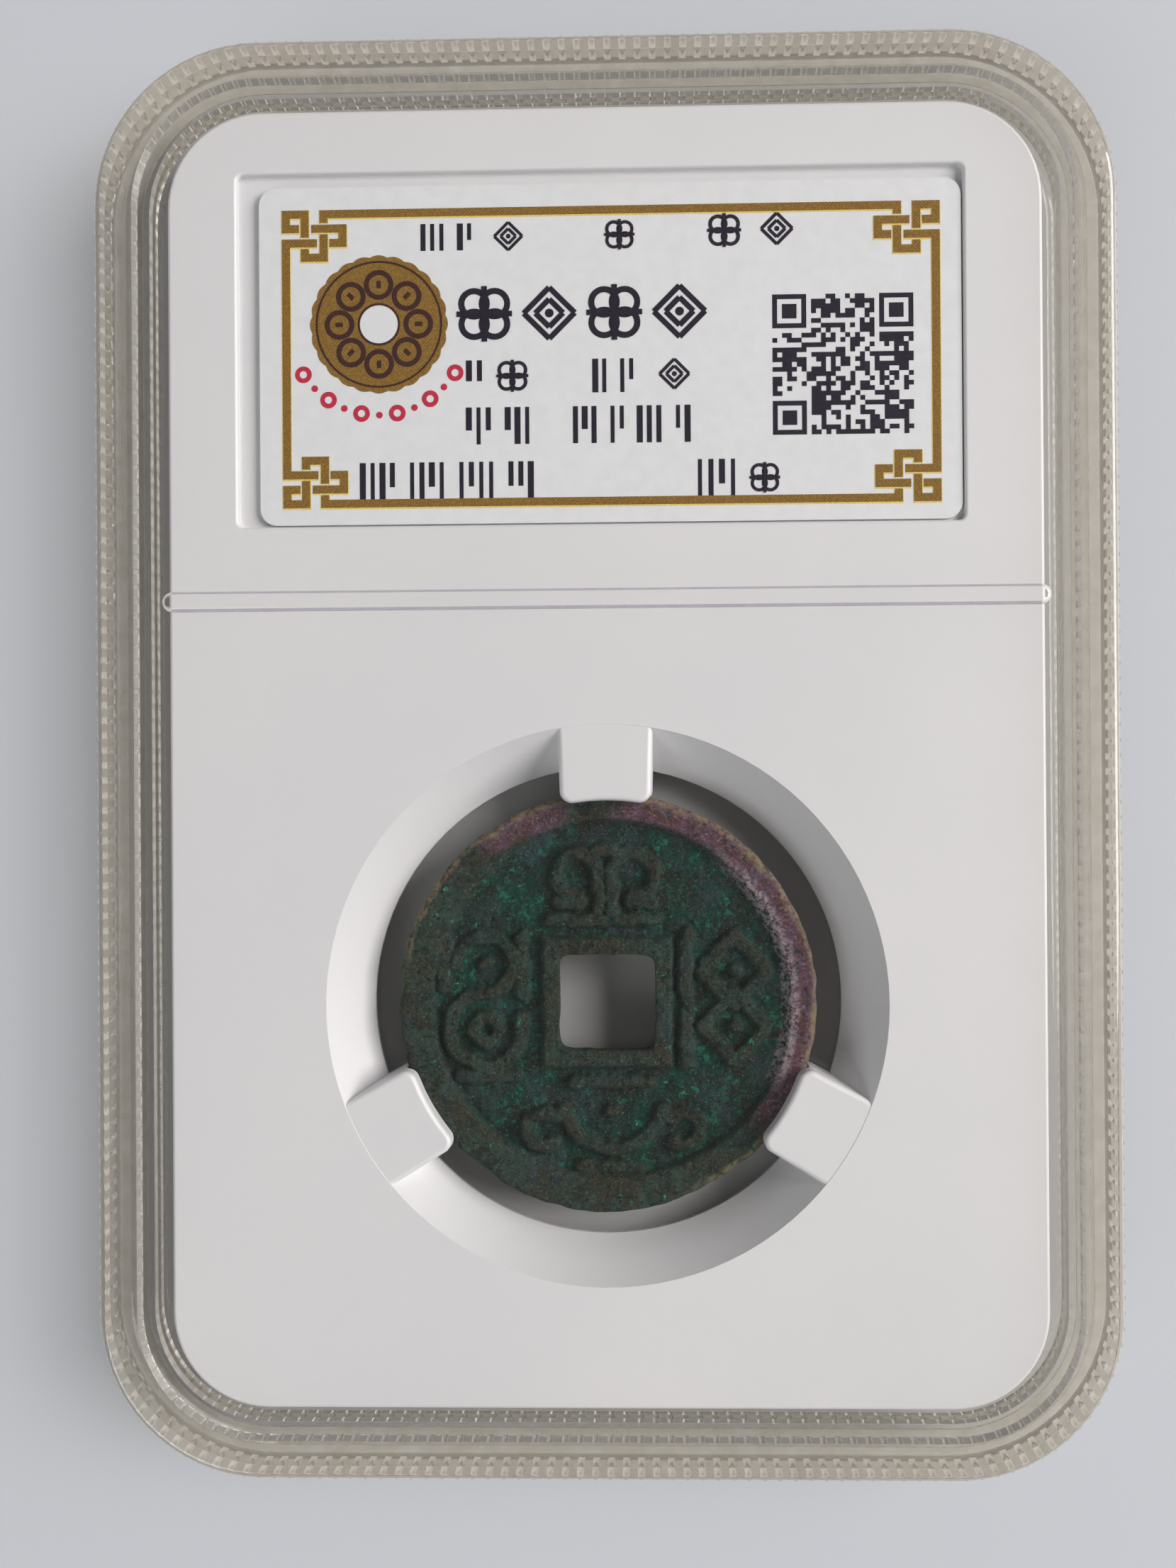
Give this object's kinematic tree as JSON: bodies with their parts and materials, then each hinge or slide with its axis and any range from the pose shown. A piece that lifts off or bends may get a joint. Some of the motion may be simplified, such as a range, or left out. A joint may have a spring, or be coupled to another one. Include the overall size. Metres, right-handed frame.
{
  "type": "graded coin slab",
  "caption": "Sealed clear plastic slab that shows a cast bronze coin with a square hole, held by prongs in a white insert under a printed label card.",
  "frame": {"origin": "under the middle of the slab's outline, on the plane of the stacking foot that it lies on", "axes": "+X to the right of the label, +Y up the face towards the label, +Z out of the front window"},
  "size_m": [0.06, 0.0846, 0.008],
  "materials": {
    "clear_plastic": "clear moulded polystyrene, polished windows, ribbed side wall",
    "white_plastic": "pale grey-white moulded, fine satin",
    "printed_card": "smooth card, printed in bronze-gold, near-black and red",
    "coin_metal": "cast bronze with a dark green and red-brown patina"
  },
  "bodies": {
    "back_shell": {"back_shell": "clear_plastic"},
    "front_shell": {"front_shell": "clear_plastic"},
    "insert": {"insert": "white_plastic"},
    "label_card": {"label_card": "printed_card"},
    "coin": {"coin": "coin_metal"}
  },
  "joints": [
    {"name": "front_lift", "type": "slide", "parent": "back_shell", "child": "front_shell", "axis": [0, 0, 1], "range_m": [0, 0.045]},
    {"name": "insert_lift", "type": "slide", "parent": "back_shell", "child": "insert", "axis": [0, 0, 1], "range_m": [0, 0.0225]},
    {"name": "label_lift", "type": "slide", "parent": "insert", "child": "label_card", "axis": [0, 0, 1], "range_m": [0, 0.009]},
    {"name": "coin_drop", "type": "slide", "parent": "insert", "child": "coin", "axis": [0, 0, -1], "range_m": [0, 0.009]}
  ],
  "couplings": [
    {"joint": "insert_lift", "follows": "front_lift", "ratio": 0.5},
    {"joint": "label_lift", "follows": "front_lift", "ratio": 0.2},
    {"joint": "coin_drop", "follows": "front_lift", "ratio": 0.2}
  ]
}
